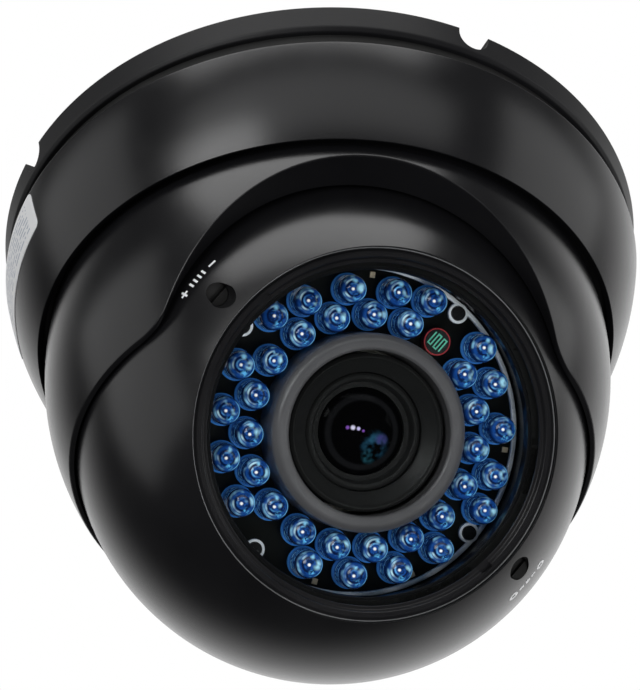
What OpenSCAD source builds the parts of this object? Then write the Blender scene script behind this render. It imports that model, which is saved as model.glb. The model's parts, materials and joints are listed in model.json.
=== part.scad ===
// Surface-mounted dome camera: an eyeball that pans and tilts inside a round metal housing.
// It hangs from a ceiling: +Z points up, and the mounting face lies in Z = 0.

/* [Housing] */
// outer radius of the mounting flange
flange_r = 59.2; // [50:0.1:70]
// distance from the mounting face down to the eyeball's centre
ball_drop = 45; // [40:0.5:55]
// height of the flange's side wall
flange_h = 5.1; // [3:0.1:8]
// turn of the base about the vertical, from the lens direction
base_turn = 10; // [-45:0.5:45]
// number of notches in the flange's back rim
notch_count = 4; // [2:1:8]
// width of a rim notch
notch_w = 5.9; // [3:0.1:9]
// depth of a rim notch, from the back rim
notch_h = 3.7; // [2:0.1:4.5]
// pitch circle radius of the ceiling screws
screw_circle_r = 40; // [30:0.5:45]
// radius of a ceiling screw hole
screw_hole_r = 2.25; // [1.5:0.05:3]
// radius of the cable hole in the grommet
cable_r = 4; // [2:0.1:6]

/* [Cover] */
// radius of the cover's front opening edge
cover_mouth_r = 52.4; // [51.8:0.1:54]
// centre of the cover's side arc, out from the axis
cover_arc_x = 4.46; // [0:0.01:10]
// centre of the cover's side arc, up from the eyeball's centre
cover_arc_z = 43.89; // [35:0.01:50]
// radius of the cover's side arc
cover_arc_r = 54.87; // [50:0.01:60]
// height of the dark joint between the flange and the cover
joint_h = 3.8; // [1:0.1:5]

/* [Hood] */
// turn of the hood about the vertical, from the lens direction
hood_turn = -8.5; // [-15:0.5:15]
// radius of the hood's outer ball surface
hood_r = 50.95; // [49:0.05:52]
// height of that surface's centre above the eyeball's centre
hood_rise = 11.36; // [8:0.01:14]
// distance of the hood's front edge below the eyeball's centre
hood_skirt = 10.3; // [6:0.1:14]
// radius of the hood's arched cut-out
arch_r = 35.75; // [30:0.05:40]
// distance of the arch's centre below the eyeball's centre
arch_drop = 20.85; // [15:0.05:25]
// rounding of the arch's feet
arch_foot_r = 4; // [1:0.5:6]

/* [Eyeball] */
// radius of the eyeball
ball_r = 46; // [44:0.1:48]
// tilt of the lens axis from straight down
tilt_angle = 44.4; // [0:0.1:60]
// turn of the face's details about the lens axis
face_turn = 59; // [0:1:90]
// radius of the window opening in the eyeball
window_r = 31.6; // [28:0.1:34]
// distance of the adjusters from the lens axis
adjuster_circle_r = 35.2; // [34:0.1:36]
// radius of an adjuster hole
adjuster_r = 2; // [1.5:0.05:3]

/* [Lights] */
// places on each ring of lights
light_places = 19; // [12:1:24]
// radius of the inner ring of lights
inner_ring_r = 20; // [18:0.1:22]
// radius of the outer ring of lights
outer_ring_r = 24.4; // [23:0.1:26]
// radius of the outer-ring lights that stand beside a lug
shifted_ring_r = 25.3; // [24:0.1:27]
// radius of one light's body
light_r = 2.45; // [2:0.05:2.6]

/* [Lens] */
// outer radius of the ring round the lens
shroud_r = 17; // [16:0.1:17.1]
// inner radius of the ring round the lens
shroud_in_r = 14.1; // [13:0.1:15]
// module of the adjusting gears
gear_module = 0.8; // [0.5:0.1:1]
// teeth on each lens ring
ring_teeth = 74; // [60:1:90]
// teeth on each adjuster
pinion_teeth = 14; // [12:1:20]

/* [Hidden] */
$fn = 96;
eps = 0.05;
skin_fn = 60;
small_fn = 32;
// heights along the vertical, from the eyeball's centre
face_top = ball_drop;
base_back = face_top - 0.5;
plate_t = 2.6;
rim_low = base_back - flange_h;
cover_top = rim_low - joint_h;
cover_low = 17.2;
mouth_bore_r = 51.35;
ledge_z = 19.4;
spigot_r = 54.3;
spigot_low_r = 53.5;
spigot_in_r = 51.9;
spigot_low = 24.4;
lug_r = 55.3;
lug_low = 27.8;
lug_high = 30;
lug_count = 4;
lug_sweep = 24;
hood_in_r = ball_r + 0.4;
hood_flange_r = 52.3;
hood_flange_low = 20.6;
hood_flange_high = 23.6;
ear_in_r = 46.35;
ear_out_r = 47.5;
ear_sweep = 24;
ear_low = -3.3;
pocket_r = 47.8;
pocket_sweep = 56;
pocket_low = -4;
yoke_r = 48.6;
yoke_in_r = 46.9;
yoke_low = 17.8;
yoke_flange_r = 51.5;
yoke_flange_low = 26.5;
yoke_flange_high = 28;
pin_r = 2;
bush_r = 2.6;
// distances along the lens axis, from the eyeball's centre
shell_t = 2.8;
shell_in_r = ball_r - shell_t;
seam_d = -3;
// flat back of the eyeball: how far out it lies, and its lean from the lens axis
back_d = 25.5;
back_lean = 30;
back_t = 2;
seat_d = 28.8;
seat_r = 27.7;
seal_top = 29.2;
glass_top = 31;
glass_r = 31.3;
chamber_r = 28.9;
board_top = 18.6;
board_t = 1.6;
board_r = 28.7;
ring_h = 0.9;
lug_circle_r = 27;
lamp_lift = 1.2;
lamp_flange_r = 2.8;
lamp_flange_h = 0.9;
lamp_body_h = 3.5;
shroud_top = 28.6;
barrel_r = 13.5;
zoom_low = 9;
focus_low = 3.5;
gear_t = 2.5;
gear_bore_r = barrel_r + 0.07;
boss_circle_r = 40.4;
lamp_step = 360 / light_places;
cell_turn = face_turn - 90.5;
// places on the outer ring beside a lug, and how far each is shifted
shifts = [[0, 4.3], [4, -4.3], [13, 0], [14, 4.7], [18, -4.2]];
skipped_place = 9;

// ---- helpers ----
// moves a shape to the eyeball's centre
module at_ball() {
    translate([0, 0, -ball_drop]) children();
}

// moves a shape to the lens axis: its Z runs out of the window
module at_lens() {
    at_ball() rotate([180 - tilt_angle, 0, 0]) children();
}

// repeats a shape n times round Z
module ring_of(n, start = 0) {
    for (i = [0 : n - 1]) rotate([0, 0, start + i * 360 / n]) children();
}

// a flat ring from radius a to radius b, from height low to height high
module tube(a, b, low, high) {
    translate([0, 0, low]) difference() {
        cylinder(r = b, h = high - low);
        translate([0, 0, -eps]) cylinder(r = a, h = high - low + 2 * eps);
    }
}

// a wedge of a flat ring, centred on +X
module wedge_tube(a, b, low, high, sweep) {
    rotate([0, 0, -sweep / 2]) translate([0, 0, low])
        rotate_extrude(angle = sweep) translate([a, 0]) square([b - a, high - low]);
}

// a round peg from height low to height high
module peg(r, low, high) {
    translate([0, 0, low]) cylinder(r = r, h = high - low);
}

// points of one involute flank, from the base circle out to the tip circle
function inv_angle(rb, r) = r <= rb ? 0
    : sqrt(pow(r / rb, 2) - 1) * 180 / PI - acos(rb / r);
function polar(r, a) = [r * cos(a), r * sin(a)];

// a flat involute gear with a tooth centred on +X
module gear_2d(teeth, slack = 0.2) {
    rp = gear_module * teeth / 2;
    rb = rp * cos(20);
    tip = rp + 0.75 * gear_module;
    root = rp - 1.1 * gear_module;
    low = max(rb, root + 0.06);
    half = 90 / teeth - slack / rp / 2 * 180 / PI + inv_angle(rb, rp);
    steps = 4;
    flank = [for (i = [0 : steps]) let (r = low + (tip - low) * i / steps)
        [r, half - inv_angle(rb, r)]];
    union() {
        circle(r = root);
        for (i = [0 : teeth - 1]) rotate(i * 360 / teeth)
            polygon(concat(
                [polar(root - 0.3, -flank[0][1])],
                [for (f = flank) polar(f[0], -f[1])],
                [for (k = [steps : -1 : 0]) polar(flank[k][0], flank[k][1])],
                [polar(root - 0.3, flank[0][1])]));
    }
}

// ---- housing ----
module mounting_base() {
    color([0.06, 0.06, 0.065]) at_ball() rotate([0, 0, base_turn - 90]) difference() {
        union() {
            rotate_extrude() polygon([
                [0, base_back], [flange_r, base_back],
                [flange_r - 0.8, rim_low + 0.7], [flange_r - 1.4, rim_low],
                [spigot_r, rim_low], [spigot_r, lug_high + 0.2],
                [spigot_low_r, lug_high + 0.2], [spigot_low_r, spigot_low],
                [spigot_in_r, spigot_low], [spigot_in_r, yoke_flange_high + 0.9],
                [48.5, yoke_flange_high + 0.9], [48.5, yoke_flange_high + 3],
                [51.2, yoke_flange_high + 5], [51.2, base_back - plate_t],
                [0, base_back - plate_t]]);
            // lugs that the cover hangs on
            ring_of(lug_count) wedge_tube(spigot_low_r - 0.3, lug_r, lug_low, lug_high, lug_sweep);
            // pads round the ceiling screws
            ring_of(3, 45) translate([screw_circle_r, 0, 0])
                peg(6, base_back - plate_t - 1.5, base_back - plate_t + eps);
        }
        peg(8, base_back - plate_t - 1, base_back + 1);
        ring_of(3, 45) translate([screw_circle_r, 0, 0])
            peg(screw_hole_r, base_back - plate_t - 3, base_back + 1);
        // notches in the back rim
        ring_of(notch_count) {
            translate([flange_r - 3.4, 0, base_back - notch_h + notch_w / 2])
                rotate([0, 90, 0]) cylinder(r = notch_w / 2, h = 6);
            translate([flange_r - 3.4, -notch_w / 2, base_back - notch_h + notch_w / 2])
                cube([6, notch_w, notch_h]);
        }
    }
}

module base_gasket() {
    color([0.05, 0.05, 0.05]) at_ball() tube(50, 55.4, base_back, face_top);
}

module cable_grommet() {
    color([0.04, 0.04, 0.04]) at_ball() rotate_extrude() polygon([
        [cable_r, base_back - plate_t - 2], [9, base_back - plate_t - 2],
        [10, base_back - plate_t - 1], [10, base_back - plate_t],
        [7.9, base_back - plate_t], [7.9, base_back], [cable_r, base_back]]);
}

module cover_seal() {
    color([0.02, 0.02, 0.02]) at_ball() tube(spigot_r + 0.2, 57, cover_top, rim_low);
}

module outer_cover() {
    color([0.06, 0.06, 0.065]) at_ball() rotate([0, 0, base_turn - 90]) difference() {
        union() {
            rotate_extrude() difference() {
                intersection() {
                    translate([cover_arc_x, cover_arc_z]) circle(r = cover_arc_r, $fn = 180);
                    translate([cover_mouth_r - 1.6, cover_low]) square([12, cover_top - cover_low]);
                }
                polygon([
                    [0, cover_low - 1], [cover_mouth_r - 0.1, cover_low - 1],
                    [cover_mouth_r - 0.1, cover_low], [mouth_bore_r, cover_low + 0.9],
                    [mouth_bore_r, ledge_z], [52.6, ledge_z], [52.6, 23.2],
                    [54.2, 24.2], [54.2, 26.9], [55.5, 27.5], [55.5, cover_top + 1],
                    [0, cover_top + 1]]);
            }
            // tabs that rest on the base's lugs
            ring_of(lug_count)
                wedge_tube(spigot_r + 0.2, 55.8, lug_high + 0.3, lug_high + 2.5, lug_sweep);
        }
        // tapped hole of the lock screw
        rotate([0, 0, 180]) translate([54, 0, cover_top - 2]) rotate([0, 90, 0])
            cylinder(r = 1.3, h = 8);
    }
}

module cover_lock_screw() {
    color([0.3, 0.3, 0.32]) at_ball() rotate([0, 0, base_turn - 90])
        rotate([0, 0, 180]) translate([spigot_r + 0.1, 0, cover_top - 2]) rotate([0, 90, 0])
            difference() {
                cylinder(r = 1.27, h = 3.2);
                translate([0, 0, 2]) cylinder(r = 0.7, h = 2, $fn = 6);
            }
}

module hood_glide() {
    color([0.8, 0.8, 0.78]) at_ball() tube(mouth_bore_r + 0.1, 52.5, ledge_z, ledge_z + 0.9);
}

module yoke_retainer() {
    color([0.5, 0.5, 0.52]) at_ball() difference() {
        tube(49.2, spigot_in_r - 0.05, spigot_low + 0.1, yoke_flange_low - 0.3);
        ring_of(4, 45) translate([48.8, -1, spigot_low]) cube([1.6, 2, 1.2]);
    }
}

module rating_label() {
    color([0.92, 0.92, 0.9]) at_ball() rotate([0, 0, -171 - 36]) rotate_extrude(angle = 36)
        intersection() {
            difference() {
                translate([cover_arc_x, cover_arc_z]) circle(r = cover_arc_r + 0.13, $fn = 180);
                translate([cover_arc_x, cover_arc_z]) circle(r = cover_arc_r + 0.01, $fn = 180);
            }
            translate([50, cover_top - 8.2]) square([12, 7.9]);
        }
}

// ---- pan yoke ----
module pan_yoke() {
    color([0.25, 0.25, 0.27]) at_ball() difference() {
        union() {
            rotate_extrude() polygon([
                [yoke_in_r, yoke_low], [yoke_r, yoke_low], [yoke_r, yoke_flange_low],
                [yoke_flange_r, yoke_flange_low], [yoke_flange_r, yoke_flange_high],
                [yoke_in_r, yoke_flange_high]]);
            ring_of(2) wedge_tube(ear_in_r, ear_out_r, ear_low, yoke_low + 5, ear_sweep);
        }
        ring_of(2) translate([40, 0, 0]) rotate([0, 90, 0]) cylinder(r = bush_r, h = 12);
    }
}

module pan_friction_pad() {
    color([0.5, 0.5, 0.48]) at_ball() tube(47, 51.2, yoke_flange_high, yoke_flange_high + 0.6);
}

module pivot_bushes() {
    color([0.85, 0.85, 0.82]) at_ball() ring_of(2) translate([ear_in_r + 0.05, 0, 0])
        rotate([0, 90, 0]) tube(pin_r + 0.05, bush_r, 0, ear_out_r - ear_in_r - 0.2);
}

// ---- hood ----
module hood_collar() {
    foot_x = sqrt(pow(arch_r + arch_foot_r, 2)
        - pow(arch_drop - hood_skirt + arch_foot_r, 2));
    foot_z = arch_foot_r - hood_skirt;
    touch_x = foot_x * arch_r / (arch_r + arch_foot_r);
    touch_z = -arch_drop + (foot_z + arch_drop) * arch_r / (arch_r + arch_foot_r);
    color([0.07, 0.07, 0.075]) at_ball() rotate([0, 0, hood_turn]) difference() {
        union() {
            intersection() {
                translate([0, 0, hood_rise]) sphere(r = hood_r, $fn = 80);
                peg(60, -hood_skirt, hood_flange_high);
            }
            peg(hood_flange_r, hood_flange_low, hood_flange_high);
        }
        sphere(r = hood_in_r, $fn = 80);
        peg(hood_in_r - 0.3, 0, hood_flange_high + 1);
        peg(yoke_r + 0.3, yoke_low - 0.3, hood_flange_high + 1);
        // room for the yoke's ears
        ring_of(2) wedge_tube(hood_in_r - 1, pocket_r, pocket_low, yoke_low, pocket_sweep);
        // arched cut-out in front of the window
        rotate([90, 0, 0]) translate([0, 0, 20]) linear_extrude(height = 45) union() {
            translate([0, -arch_drop]) circle(r = arch_r, $fn = 180);
            for (s = [-1, 1]) difference() {
                translate([s > 0 ? touch_x - 1.2 : -foot_x, -hood_skirt - 1])
                    square([foot_x - touch_x + 1.2, touch_z + hood_skirt + 1]);
                translate([s * foot_x, foot_z]) circle(r = arch_foot_r + 0.02);
            }
        }
    }
}

// ---- eyeball ----
// everything behind the eyeball's flat back, from distance d outwards
module behind(d) {
    rotate([180 + back_lean, 0, 0]) translate([-60, -60, d]) cube([120, 120, 60]);
}

// the three screws that join the eyeball's two shells
module shell_places() {
    for (a = [-146, 122, 168]) rotate([0, 0, a]) translate([0, boss_circle_r, 0]) children();
}

// a ball whose start meridian lies away from the bores
module skin_sphere(r) {
    rotate([0, 0, 220]) sphere(r = r, $fn = skin_fn);
}

// the eyeball's skin: a ball with a flat back
module ball_skin() {
    difference() {
        skin_sphere(ball_r);
        difference() {
            skin_sphere(shell_in_r);
            behind(back_d - back_t);
        }
        behind(back_d);
    }
}

module ball_front_shell() {
    color([0.06, 0.06, 0.065]) at_lens() difference() {
        union() {
            difference() {
                intersection() {
                    skin_sphere(ball_r);
                    peg(60, seam_d + 0.2, 60);
                }
                skin_sphere(shell_in_r);
            }
            // seat of the window, the light chamber and the sleeves, within the shell
            intersection() {
                skin_sphere(ball_r - 1);
                union() {
                    peg(34.5, seat_d - 2.5, 60);
                    peg(chamber_r + 2, 13, seat_d - 2);
                    rotate([0, 0, face_turn]) ring_of(2) translate([0, adjuster_circle_r, 14])
                        cylinder(r = adjuster_r + 1.6, h = 26, $fn = small_fn);
                    shell_places() translate([0, 0, seam_d + 0.2]) cylinder(r = 3.3, h = 7.8, $fn = small_fn);
                    rotate([0, 0, face_turn + 45]) ring_of(4) translate([0, 40.2, -2.5])
                        cylinder(r = 3.5, h = 5.5, $fn = small_fn);
                }
            }
        }
        peg(window_r, seat_d, 60);
        peg(seat_r, seat_d - 2.5 - eps, 60);
        difference() {
            peg(chamber_r, 12.9, seat_d - 2.5);
            rotate([0, 0, face_turn]) ring_of(4) translate([0, lug_circle_r + 1, 12])
                cylinder(r = 2.6, h = board_top - board_t - 12, $fn = small_fn);
        }
        rotate([0, 0, face_turn]) ring_of(4) translate([0, lug_circle_r, 13.6])
            cylinder(r = 0.8, h = 10, $fn = small_fn);
        rotate([0, 0, face_turn]) ring_of(2) translate([0, adjuster_circle_r, 10])
            cylinder(r = adjuster_r, h = 40, $fn = small_fn);
        shell_places() translate([0, 0, seam_d - 1]) cylinder(r = 1.3, h = 7.5, $fn = small_fn);
        rotate([0, 0, face_turn + 45]) ring_of(4) translate([0, 39.5, -3])
            cylinder(r = 1.05, h = 5, $fn = small_fn);
        ring_of(2) translate([40, 0, 0]) rotate([0, 90, 0]) cylinder(r = pin_r + 0.01, h = 10);
    }
}

module ball_rear_shell() {
    color([0.06, 0.06, 0.065]) at_lens() difference() {
        union() {
            intersection() {
                ball_skin();
                peg(60, -60, seam_d - 0.4);
            }
            difference() {
                intersection() {
                    skin_sphere(ball_r - 1);
                    shell_places() peg(3.8, -30, seam_d - 0.8);
                }
                behind(back_d - 0.5);
            }
        }
        shell_places() translate([0, 0, -40]) {
            cylinder(r = 1.7, h = 40);
            cylinder(r = 3, h = 32);
        }
        // cable port in the flat back
        rotate([180 + back_lean, 0, 0]) peg(6, 10, 60);
    }
}

module ball_seal() {
    color([0.02, 0.02, 0.02]) at_lens() tube(43.3, 44.8, seam_d - 0.4, seam_d + 0.2);
}

module shell_screws() {
    color([0.6, 0.6, 0.62]) at_lens() shell_places() difference() {
            union() {
                peg(2.7, -9.8, -8);
                peg(1.25, -8.5, 3);
            }
            translate([0, 0, -10]) cylinder(r = 1.2, h = 1.2, $fn = 6);
        }
}

module tilt_pins() {
    color([0.65, 0.65, 0.67]) at_ball() ring_of(2) rotate([0, 90, 0]) union() {
        peg(pin_r, 42.4, ear_out_r - 0.15);
        peg(3, 41.2, 42.6);
    }
}

module ball_grommet() {
    color([0.03, 0.03, 0.03]) at_lens() rotate([180 + back_lean, 0, 0])
        tube(3.2, 5.9, back_d - back_t - 1, back_d);
}

// ---- window ----
module window_glass() {
    color([0.9, 0.95, 0.97, 0.3]) at_lens() peg(glass_r, seal_top, glass_top);
}

module window_seal() {
    color([0.02, 0.02, 0.02]) at_lens() tube(28.3, glass_r, seat_d, seal_top);
}

module window_ring() {
    color([0.08, 0.08, 0.085]) at_lens() difference() {
        rotate_extrude() polygon([
            [28.9, glass_top], [31.5, glass_top], [31.5, glass_top + 0.9],
            [30.7, glass_top + 1.4], [29.9, glass_top + 1.4],
            [29.5, glass_top + 0.6], [28.9, glass_top + 0.6]]);
        rotate([0, 0, face_turn - 8]) ring_of(2) translate([-1.1, 28, glass_top + 0.2])
            cube([2.2, 2.3, 3]);
    }
}

// ---- lights ----
module led_board() {
    color([0.02, 0.03, 0.02]) at_lens() difference() {
        peg(board_r, board_top - board_t, board_top);
        peg(shroud_in_r + 0.3, board_top - board_t - 1, board_top + 1);
        rotate([0, 0, face_turn]) ring_of(4) translate([0, lug_circle_r, 0]) peg(1, 10, 30);
    }
}

// one light, standing on the board
module light() {
    peg(1.6, board_top, board_top + lamp_lift);
    peg(lamp_flange_r, board_top + lamp_lift, board_top + lamp_lift + lamp_flange_h);
    peg(light_r, board_top + lamp_lift, board_top + lamp_lift + lamp_flange_h + lamp_body_h);
    translate([0, 0, board_top + lamp_lift + lamp_flange_h + lamp_body_h])
        sphere(r = light_r, $fn = 48);
}

module inner_leds() {
    color([0.45, 0.65, 0.9]) at_lens() for (i = [1 : light_places - 1])
        rotate([0, 0, cell_turn + i * lamp_step]) translate([0, inner_ring_r, 0]) light();
}

// turn and radius of one place on the outer ring
function shift_of(i) = let (s = [for (p = shifts) if (p[0] == i) p[1]]) len(s) > 0 ? s[0] : 0;

module outer_leds() {
    color([0.45, 0.65, 0.9]) at_lens() for (i = [0 : light_places - 1]) if (i != skipped_place)
        rotate([0, 0, cell_turn + (i + 0.5) * lamp_step + shift_of(i)])
            translate([0, shift_of(i) == 0 ? outer_ring_r : shifted_ring_r, 0]) light();
}

module photocell() {
    color([0.6, 0.2, 0.15]) at_lens() rotate([0, 0, cell_turn])
        translate([0, inner_ring_r + 0.6, 0]) union() {
            peg(2.4, board_top, board_top + 2);
            translate([-1.9, -1.5, board_top + 1.9]) cube([3.8, 3, 0.4]);
        }
}

module board_chips() {
    color([0.6, 0.5, 0.35]) at_lens() for (a = [-87, -147.5, 175, 5, 35, 95, -50])
        rotate([0, 0, a]) translate([-0.45, 26.4, board_top]) cube([0.9, 1, 0.5]);
}

module board_ring() {
    color([0.75, 0.75, 0.77]) at_lens() difference() {
        union() {
            tube(27.9, board_r, board_top, board_top + ring_h);
            rotate([0, 0, face_turn]) ring_of(4) translate([0, lug_circle_r, 0])
                peg(1.6, board_top, board_top + 0.7);
        }
        rotate([0, 0, face_turn]) ring_of(4) translate([0, lug_circle_r, 0]) {
            peg(0.9, 10, 30);
            peg(1.3, board_top + 0.65, 30);
        }
    }
}

module board_screws() {
    color([0.7, 0.7, 0.72]) at_lens() rotate([0, 0, face_turn]) ring_of(4)
        translate([0, lug_circle_r, 0]) difference() {
            union() {
                peg(1.2, board_top + 0.65, board_top + 1.15);
                peg(0.75, 14, board_top + 0.8);
            }
            translate([-1.5, -0.18, board_top + 0.95]) cube([3, 0.36, 1]);
            translate([-0.18, -1.5, board_top + 0.95]) cube([0.36, 3, 1]);
        }
}

// ---- lens ----
module lens_shroud() {
    color([0.16, 0.16, 0.17]) at_lens() rotate_extrude() polygon([
        [shroud_in_r, board_top], [shroud_r, board_top], [shroud_r, shroud_top - 0.5],
        [shroud_r - 0.5, shroud_top], [shroud_in_r + 0.4, shroud_top],
        [shroud_in_r, shroud_top - 0.4]]);
}

module lens_barrel() {
    color([0.05, 0.05, 0.05]) at_lens() rotate_extrude() polygon([
        [6, -6.4], [6.95, -6.4], [6.95, -1.5], [barrel_r, -1.5], [barrel_r, 25.8],
        [barrel_r - 0.5, 26.4], [12.8, 26.4], [12.4, 25.9], [10.7, 24.3],
        [10.2, 23.8], [10.2, 17], [6, 17]]);
}

module lens_front_ring() {
    color([0.1, 0.1, 0.1]) at_lens() rotate_extrude() polygon([
        [7.6, 20.4], [10.1, 20.4], [10.1, 23.2], [9.6, 23.7], [9, 23.7], [8.5, 22.4],
        [8.5, 22], [7.6, 22]]);
}

module lens_front_glass() {
    color([0.3, 0.3, 0.45, 0.5]) at_lens() intersection() {
        translate([0, 0, 8.2]) sphere(r = 15, $fn = 96);
        peg(7.5, 17.8, 30);
    }
}

module lens_iris() {
    color([0.03, 0.03, 0.03]) at_lens() tube(3.2, 7.5, 17, 17.7);
}

module core_frame() {
    color([0.1, 0.1, 0.1]) at_lens() difference() {
        peg(41, -4, -2.5);
        peg(barrel_r + 0.3, -6, 0);
        shell_places() translate([0, 0.5, 0]) peg(4.8, -6, 0);
        behind(back_d - back_t - 0.5);
        rotate([0, 0, face_turn + 45]) ring_of(4) translate([0, 39.5, 0]) peg(1.2, -6, 0);
        ring_of(4, 22) translate([0, 28, 0]) peg(6, -6, 0);
    }
}

module frame_screws() {
    color([0.6, 0.6, 0.62]) at_lens() for (i = [0 : 2])
        rotate([0, 0, face_turn + 45 + 90 * i]) translate([0, 39.5, 0]) union() {
            peg(2, -5.4, -4);
            peg(1, -4.2, 1.4);
        }
}

module lens_mount() {
    color([0.04, 0.04, 0.04]) at_lens() difference() {
        union() {
            translate([-11, -11, -11]) cube([22, 22, 3]);
            peg(9.5, -8.2, -4.2);
        }
        peg(7, -9, 0);
        translate([-5.6, -5.6, -12]) cube([11.2, 11.2, 3.2]);
    }
}

module sensor_board() {
    color([0.05, 0.2, 0.1]) at_lens() translate([-19, -19, -12.6]) cube([38, 38, 1.6]);
}

module image_sensor() {
    color([0.15, 0.12, 0.2]) at_lens() translate([-5, -5, -11]) cube([10, 10, 1.2]);
}

module main_board() {
    color([0.05, 0.2, 0.1]) at_lens() translate([-19, -27, -22.1]) cube([38, 31, 1.6]);
}

module main_board_parts() {
    color([0.1, 0.1, 0.1]) at_lens() union() {
        translate([-8, -11, -20.5]) cube([14, 13, 1.4]);
        translate([7.5, -22, -20.5]) cube([6, 12, 4]);
        translate([-15, -24, -27.1]) cube([16, 5, 5]);
        translate([10, -10, 0]) peg(4, -26.1, -22.1);
        translate([10, -20, 0]) peg(3.2, -28.1, -22.1);
        translate([-14, -14, -24.6]) cube([9, 7, 2.5]);
    }
}

module standoffs() {
    color([0.8, 0.7, 0.4]) at_lens() for (x = [-16, 16]) union() {
            for (y = [-16, 16]) translate([x, y, 0]) peg(2, -11, -4);
            for (y = [-16, 1]) translate([x, y, 0]) peg(2, -20.5, -12.6);
        }
}

module adjuster_seals() {
    color([0.02, 0.02, 0.02]) at_lens() rotate([0, 0, face_turn]) ring_of(2)
        translate([0, adjuster_circle_r, 0]) tube(adjuster_r + 0.2, 3.4, 12.9, 13.9);
}

// ---- lens rings and adjusters ----
module ring_gear(low, turn) {
    difference() {
        union() {
            translate([0, 0, low]) rotate([0, 0, turn + 90]) linear_extrude(height = gear_t)
                gear_2d(ring_teeth);
            peg(16.5, low, low + gear_t + 1.2);
        }
        peg(gear_bore_r, low - 1, low + gear_t + 2);
        ring_of(6, turn) translate([0, 21.6, 0]) peg(4, low - 1, low + gear_t + 1);
    }
}

module pinion_shaft(low, turn, top) {
    rotate([0, 0, turn]) translate([0, adjuster_circle_r, 0]) difference() {
        union() {
            translate([0, 0, low]) rotate([0, 0, -90 + 180 / pinion_teeth])
                linear_extrude(height = gear_t) gear_2d(pinion_teeth);
            peg(adjuster_r - 0.05, low - 0.6, top);
        }
        translate([-3, -0.4, top - 1]) cube([6, 0.8, 2]);
    }
}

module zoom_ring_gear() {
    color([0.75, 0.73, 0.68]) at_lens() ring_gear(zoom_low, face_turn);
}

module focus_ring_gear() {
    color([0.75, 0.73, 0.68]) at_lens() ring_gear(focus_low, face_turn + 180);
}

module zoom_adjuster() {
    color([0.2, 0.2, 0.2]) at_lens() pinion_shaft(zoom_low, face_turn, 26.6);
}

module focus_adjuster() {
    color([0.7, 0.7, 0.7]) at_lens() pinion_shaft(focus_low, face_turn + 180, 27.1);
}

mounting_base();
base_gasket();
cable_grommet();
cover_seal();
outer_cover();
cover_lock_screw();
hood_glide();
yoke_retainer();
rating_label();
pan_yoke();
pan_friction_pad();
pivot_bushes();
hood_collar();
ball_front_shell();
ball_rear_shell();
ball_seal();
shell_screws();
tilt_pins();
ball_grommet();
window_glass();
window_seal();
window_ring();
led_board();
inner_leds();
outer_leds();
photocell();
board_chips();
board_ring();
board_screws();
lens_shroud();
lens_barrel();
lens_front_ring();
lens_front_glass();
lens_iris();
core_frame();
frame_screws();
lens_mount();
sensor_board();
image_sensor();
main_board();
main_board_parts();
standoffs();
adjuster_seals();
zoom_ring_gear();
focus_ring_gear();
zoom_adjuster();
focus_adjuster();
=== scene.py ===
"""A dome camera for a ceiling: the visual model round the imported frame."""

import json
import math

import bmesh
import bpy
from mathutils import Matrix, Vector


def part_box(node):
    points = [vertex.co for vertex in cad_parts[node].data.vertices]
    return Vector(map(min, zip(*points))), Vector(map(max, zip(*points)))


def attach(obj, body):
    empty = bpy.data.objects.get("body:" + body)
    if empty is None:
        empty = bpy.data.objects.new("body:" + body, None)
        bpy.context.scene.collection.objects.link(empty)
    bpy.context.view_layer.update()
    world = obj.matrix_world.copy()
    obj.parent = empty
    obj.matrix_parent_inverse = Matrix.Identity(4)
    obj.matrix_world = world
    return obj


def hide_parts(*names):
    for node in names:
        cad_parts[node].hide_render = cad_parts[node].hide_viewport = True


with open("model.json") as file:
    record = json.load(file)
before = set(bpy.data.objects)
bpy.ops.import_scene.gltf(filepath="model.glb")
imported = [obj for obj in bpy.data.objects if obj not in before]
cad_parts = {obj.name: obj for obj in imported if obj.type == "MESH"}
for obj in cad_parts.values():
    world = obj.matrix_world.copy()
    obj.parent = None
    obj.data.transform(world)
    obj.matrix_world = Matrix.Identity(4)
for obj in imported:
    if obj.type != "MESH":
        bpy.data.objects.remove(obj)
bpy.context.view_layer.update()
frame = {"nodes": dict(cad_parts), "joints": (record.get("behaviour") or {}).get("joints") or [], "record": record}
SCENE = bpy.context.scene
MM = 0.001

# ---- the part's own frame: the shapes are in mm, from the eyeball's centre ----
JOINTS = {j["name"]: j for j in frame["joints"]}
# how far the eyeball's centre hangs below the ceiling
DROP = -JOINTS["tilt"]["pos_m"][2] / MM
LENS_AXIS = Vector(JOINTS["zoom"]["axis"]).normalized()
SIDEWAYS = Vector((1, 0, 0))
LENS_UP = LENS_AXIS.cross(SIDEWAYS).normalized()
if LENS_UP.z < 0:
    LENS_UP = -LENS_UP

AT_BALL = Matrix.Translation((0, 0, -DROP * MM)) @ Matrix.Scale(MM, 4)
LENS_TURN = Matrix((SIDEWAYS, LENS_UP, LENS_AXIS)).transposed().to_4x4()
AT_LENS = AT_BALL @ LENS_TURN
ON_SIDE = Matrix.Rotation(math.radians(90), 4, "Y")


def turned(matrix, degrees):
    """The same place, turned round its own Z axis."""
    return matrix @ Matrix.Rotation(math.radians(degrees), 4, "Z")


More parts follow.
